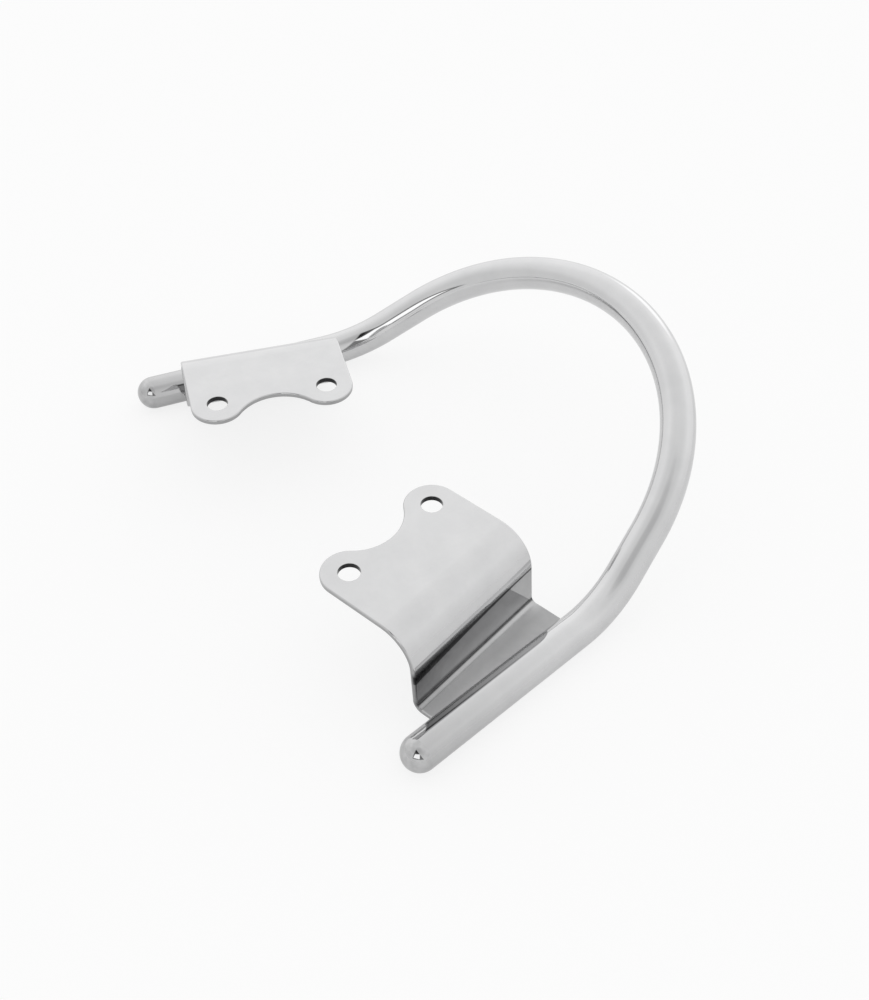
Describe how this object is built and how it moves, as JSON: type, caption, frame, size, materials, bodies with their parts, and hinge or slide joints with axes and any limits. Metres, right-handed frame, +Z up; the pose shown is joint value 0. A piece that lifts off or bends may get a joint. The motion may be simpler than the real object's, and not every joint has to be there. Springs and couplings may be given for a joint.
{
  "type": "motorcycle passenger grab handle",
  "caption": "Bent round-tube grab handle with a raised loop, domed tube ends and joggled bolt-on brackets with rounded ears, welded to its legs.",
  "frame": {"origin": "midway between the two front bolt holes, on the plane where the brackets' undersides seat", "axes": "+X to the motorcycle's left, +Y to the rear towards the loop, +Z up, square to the seat plane"},
  "size_m": [0.2704, 0.2095, 0.0731],
  "materials": {
    "tube": "mirror polished",
    "bracket": "mirror polished",
    "weld": "polished"
  },
  "bodies": {
    "root": {"grab_tube": "tube", "end_caps": "tube", "bracket_left": "bracket", "bracket_right": "bracket", "welds_upper": "weld", "welds_lower": "weld"}
  },
  "joints": []
}
